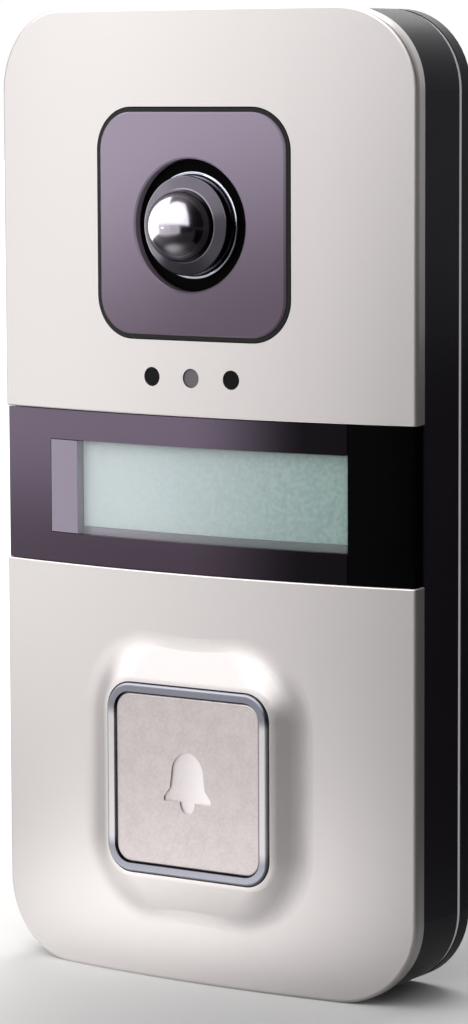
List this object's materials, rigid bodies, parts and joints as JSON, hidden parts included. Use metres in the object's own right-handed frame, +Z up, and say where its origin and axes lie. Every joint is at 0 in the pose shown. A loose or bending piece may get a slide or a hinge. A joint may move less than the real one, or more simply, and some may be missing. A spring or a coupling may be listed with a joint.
{
  "type": "video door station",
  "caption": "Slim wall-hung video door station with a domed camera that can be aimed, a lit name label and a framed call button over a black housing.",
  "frame": {"origin": "centre of the wall plate's rear face, which lies on the wall", "axes": "+Z up the wall, +X to the right as seen by the visitor, +Y into the wall, so the front faces -Y"},
  "size_m": [0.09, 0.0327, 0.1784],
  "materials": {
    "black_plastic": "moulded black ABS with a fine even grain",
    "grey_seal": "soft light grey foam rubber",
    "black_rubber": "smooth black rubber",
    "silver_paint": "die-cast metal with fine silver metallic paint, satin",
    "smoked_acrylic": "smoked acrylic, polished",
    "black_acrylic": "black acrylic, polished and bare",
    "clear_acrylic": "clear acrylic, polished",
    "card_paper": "plain white card, lit from behind through a pale green film",
    "tray_plastic": "translucent grey plastic",
    "led_package": "white package with a phosphor face",
    "tinted_acrylic": "grey tinted acrylic, polished",
    "chrome_plate": "bright chrome plate",
    "smoked_dome": "dark smoked polycarbonate, polished",
    "anodised_barrel": "black anodised aluminium",
    "lens_glass": "coated optical glass",
    "circuit_board": "green solder mask",
    "satin_button": "satin silver with a fine blasted grain",
    "chip_plastic": "moulded black epoxy",
    "tinned_steel": "tin-plated sheet steel",
    "capacitor_can": "drawn aluminium can",
    "socket_plastic": "cream nylon",
    "terminal_plastic": "green moulded polyamide",
    "steel_screw": "zinc-plated steel",
    "cone_paper": "black paper cone"
  },
  "bodies": {
    "station": {"wall_plate": "black_plastic", "rear_seal": "grey_seal", "rear_housing": "black_plastic", "front_gasket": "black_rubber", "front_carrier": "black_plastic", "upper_front_plate": "silver_paint", "lower_front_plate": "silver_paint", "label_cover": "smoked_acrylic", "band_infill": "black_acrylic", "label_window": "clear_acrylic", "name_card": "card_paper", "label_tray": "tray_plastic", "light_guide": "clear_acrylic", "backlight_leds": "led_package", "camera_window": "tinted_acrylic", "window_gasket": "black_rubber", "lens_surround": "black_plastic", "lens_ring": "chrome_plate", "lens_dome": "smoked_dome", "camera_bracket": "black_plastic", "light_pipes": "clear_acrylic", "sensor_pipe": "clear_acrylic", "illumination_leds": "led_package", "light_sensor": "chip_plastic", "button_frame": "chrome_plate", "button_bumper": "black_rubber", "tact_switch": "chip_plastic", "main_board": "circuit_board", "shield_can": "tinned_steel", "door_relay": "chip_plastic", "capacitors": "capacitor_can", "choke_coil": "chip_plastic", "board_sockets": "socket_plastic", "terminal_block": "terminal_plastic", "terminal_screws": "steel_screw", "speaker_frame": "black_plastic", "speaker_cone": "cone_paper", "speaker_gasket": "black_rubber", "microphone_boot": "black_rubber", "microphone": "capacitor_can", "housing_screws": "steel_screw", "board_screws": "steel_screw", "bracket_screws": "steel_screw", "locking_screw": "steel_screw"},
    "button": {"call_button": "satin_button"},
    "plunger": {"switch_plunger": "chip_plastic"},
    "yoke": {"camera_yoke": "black_plastic"},
    "camera": {"lens_holder": "black_plastic", "lens_barrel": "anodised_barrel", "front_lens": "lens_glass", "sensor_board": "circuit_board"}
  },
  "joints": [
    {"name": "button_press", "type": "slide", "parent": "station", "child": "button", "axis": [0, 1, 0], "range_m": [0, 0.0006], "stiffness_N_per_m": 1500, "springref_m": -0.0005},
    {"name": "plunger_press", "type": "slide", "parent": "station", "child": "plunger", "axis": [0, 1, 0], "range_m": [0, 0.0006]},
    {"name": "camera_pan", "type": "hinge", "parent": "station", "child": "yoke", "pos_m": [0, -0.017, 0.05017], "axis": [0, 0, 1], "range_deg": [-10, 10]},
    {"name": "camera_tilt", "type": "hinge", "parent": "yoke", "child": "camera", "pos_m": [0, -0.017, 0.05017], "axis": [1, 0, 0], "range_deg": [-8, 8]}
  ],
  "couplings": [
    {"joint": "plunger_press", "follows": "button_press", "ratio": 1}
  ]
}
